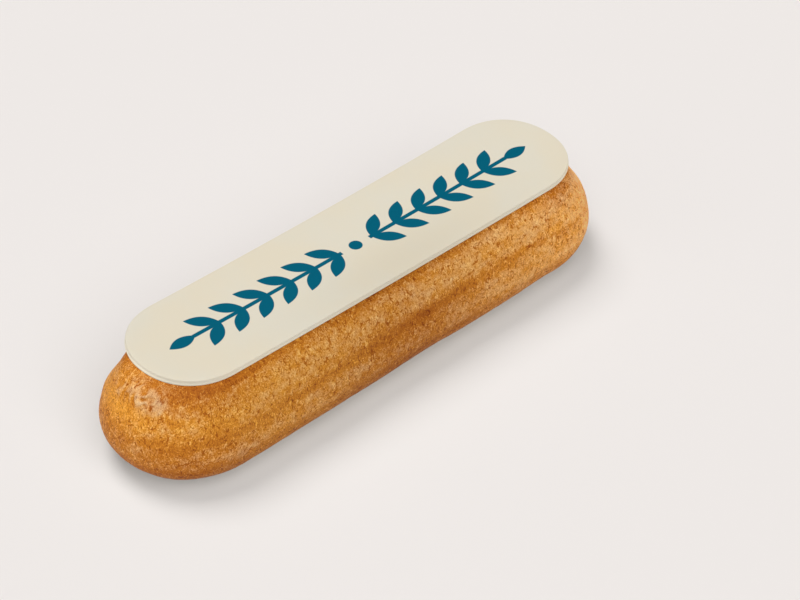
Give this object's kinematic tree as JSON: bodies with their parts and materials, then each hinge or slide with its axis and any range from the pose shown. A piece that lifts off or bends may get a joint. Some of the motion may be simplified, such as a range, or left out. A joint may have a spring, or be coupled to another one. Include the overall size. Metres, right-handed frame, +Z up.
{
  "type": "eclair",
  "caption": "Whole baked choux eclair, a long round-ended finger with a golden crust and a flat ivory white chocolate plaque on top, for food and table scenes.",
  "frame": {"origin": "middle of the flat base that the eclair rests on", "axes": "+X along the finger, +Z up through the plaque, -Y towards the side that shows in the picture"},
  "size_m": [0.1465, 0.0414, 0.0275],
  "materials": {
    "choux_crust": "dry golden brown baked crust with fine wrinkles, small pores and a darker rim at the base",
    "white_chocolate": "smooth satin ivory white chocolate with a softly rounded edge"
  },
  "bodies": {
    "root": {"choux_finger": "choux_crust", "white_chocolate_plaque": "white_chocolate"}
  },
  "joints": []
}
